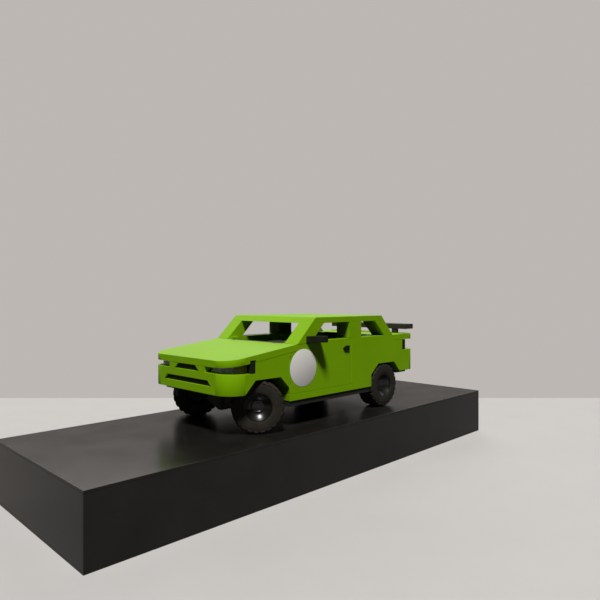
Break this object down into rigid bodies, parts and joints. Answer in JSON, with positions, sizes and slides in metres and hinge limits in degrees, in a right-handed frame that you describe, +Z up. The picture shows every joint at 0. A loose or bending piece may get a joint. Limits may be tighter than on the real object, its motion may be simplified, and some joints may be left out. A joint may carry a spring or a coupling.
{
  "type": "stock car on a plinth",
  "caption": "Boxy green two-door stock car with opening doors and lids, steered front wheels and a low rear wing, standing on a long black display plinth.",
  "frame": {"origin": "centre of the plinth's underside", "axes": "+X to the car's left, -Y towards its nose, +Z up"},
  "size_m": [2.8, 8.4, 2.467],
  "materials": {
    "body_paint": "gloss",
    "black_trim": "satin",
    "plinth_black": "gloss",
    "tyre_rubber": "matte",
    "rim_black": "gloss",
    "lamp_clear": "gloss",
    "lamp_amber": "gloss",
    "lamp_red": "gloss",
    "chassis": "satin",
    "steel": "satin",
    "seat_cloth": "matte",
    "engine_iron": "matte"
  },
  "bodies": {
    "car_body": {"a_pillars": "body_paint", "cowl": "chassis", "dashboard": "black_trim", "driver_seat": "seat_cloth", "engine_block": "engine_iron", "floor_pan": "chassis", "front_bumper": "body_paint", "front_fenders": "body_paint", "front_suspension": "steel", "grilles": "black_trim", "headlamp_backs": "black_trim", "headlamp_lenses": "lamp_clear", "lamp_caps": "black_trim", "plinth_base": "plinth_black", "plinth_deck": "plinth_black", "plinth_ends": "plinth_black", "plinth_sides": "plinth_black", "rear_axle": "steel", "rear_bumper": "body_paint", "rear_pillars": "body_paint", "rear_quarters": "body_paint", "rear_shelf": "body_paint", "roof": "body_paint", "side_markers": "lamp_amber", "sills": "body_paint", "steering_column": "steel", "tail_lamps": "lamp_red", "wheelhouses": "chassis"},
    "hood": {"hood": "body_paint"},
    "trunk_lid": {"trunk_lid": "body_paint", "rear_wing": "black_trim"},
    "steering_wheel": {"steering_wheel": "black_trim"},
    "door_left": {"door_left": "body_paint", "door_handle_left": "black_trim", "door_mirror_left": "black_trim"},
    "knuckle_left": {"knuckle_left": "steel"},
    "door_right": {"door_right": "body_paint", "door_handle_right": "black_trim", "door_mirror_right": "black_trim"},
    "knuckle_right": {"knuckle_right": "steel"},
    "wheel_front_left": {"tyre_front_left": "tyre_rubber", "rim_front_left": "rim_black"},
    "wheel_front_right": {"tyre_front_right": "tyre_rubber", "rim_front_right": "rim_black"},
    "wheel_rear_left": {"tyre_rear_left": "tyre_rubber", "rim_rear_left": "rim_black"},
    "wheel_rear_right": {"tyre_rear_right": "tyre_rubber", "rim_rear_right": "rim_black"}
  },
  "joints": [
    {"name": "hood_hinge", "type": "hinge", "parent": "car_body", "child": "hood", "pos_m": [0, -0.813, 2.05936], "axis": [-1, 0, 0], "range_deg": [0, 60]},
    {"name": "trunk_hinge", "type": "hinge", "parent": "car_body", "child": "trunk_lid", "pos_m": [0, 1.677, 2.098], "axis": [1, 0, 0], "range_deg": [0, 60]},
    {"name": "door_left_hinge", "type": "hinge", "parent": "car_body", "child": "door_left", "pos_m": [0.982, -0.949, 1.69], "axis": [0, 0, -1], "range_deg": [0, 65]},
    {"name": "door_right_hinge", "type": "hinge", "parent": "car_body", "child": "door_right", "pos_m": [-0.982, -0.949, 1.69], "axis": [0, 0, 1], "range_deg": [0, 65]},
    {"name": "steer_left", "type": "hinge", "parent": "car_body", "child": "knuckle_left", "pos_m": [0.755, -1.39, 1.2184], "axis": [0, 0, 1], "range_deg": [-1, 71]},
    {"name": "steer_right", "type": "hinge", "parent": "car_body", "child": "knuckle_right", "pos_m": [-0.755, -1.39, 1.2184], "axis": [0, 0, 1], "range_deg": [-1, 71]},
    {"name": "steering_wheel_turn", "type": "hinge", "parent": "car_body", "child": "steering_wheel", "pos_m": [0.495, -0.03, 1.85], "axis": [0, 0.9781, 0.2079], "range_deg": [-8, 568]},
    {"name": "spin_front_left", "type": "hinge", "parent": "knuckle_left", "child": "wheel_front_left", "pos_m": [0.81234, -1.43015, 1.2184], "axis": [0.8192, -0.5736, 0], "continuous": true},
    {"name": "spin_front_right", "type": "hinge", "parent": "knuckle_right", "child": "wheel_front_right", "pos_m": [-0.81234, -1.34985, 1.2184], "axis": [0.8192, -0.5736, 0], "continuous": true},
    {"name": "spin_rear_left", "type": "hinge", "parent": "car_body", "child": "wheel_rear_left", "pos_m": [0.825, 1.41, 1.2184], "axis": [1, 0, 0], "continuous": true},
    {"name": "spin_rear_right", "type": "hinge", "parent": "car_body", "child": "wheel_rear_right", "pos_m": [-0.825, 1.41, 1.2184], "axis": [1, 0, 0], "continuous": true}
  ],
  "couplings": [
    {"joint": "steer_right", "follows": "steer_left", "ratio": 1},
    {"joint": "steering_wheel_turn", "follows": "steer_left", "ratio": 8}
  ]
}
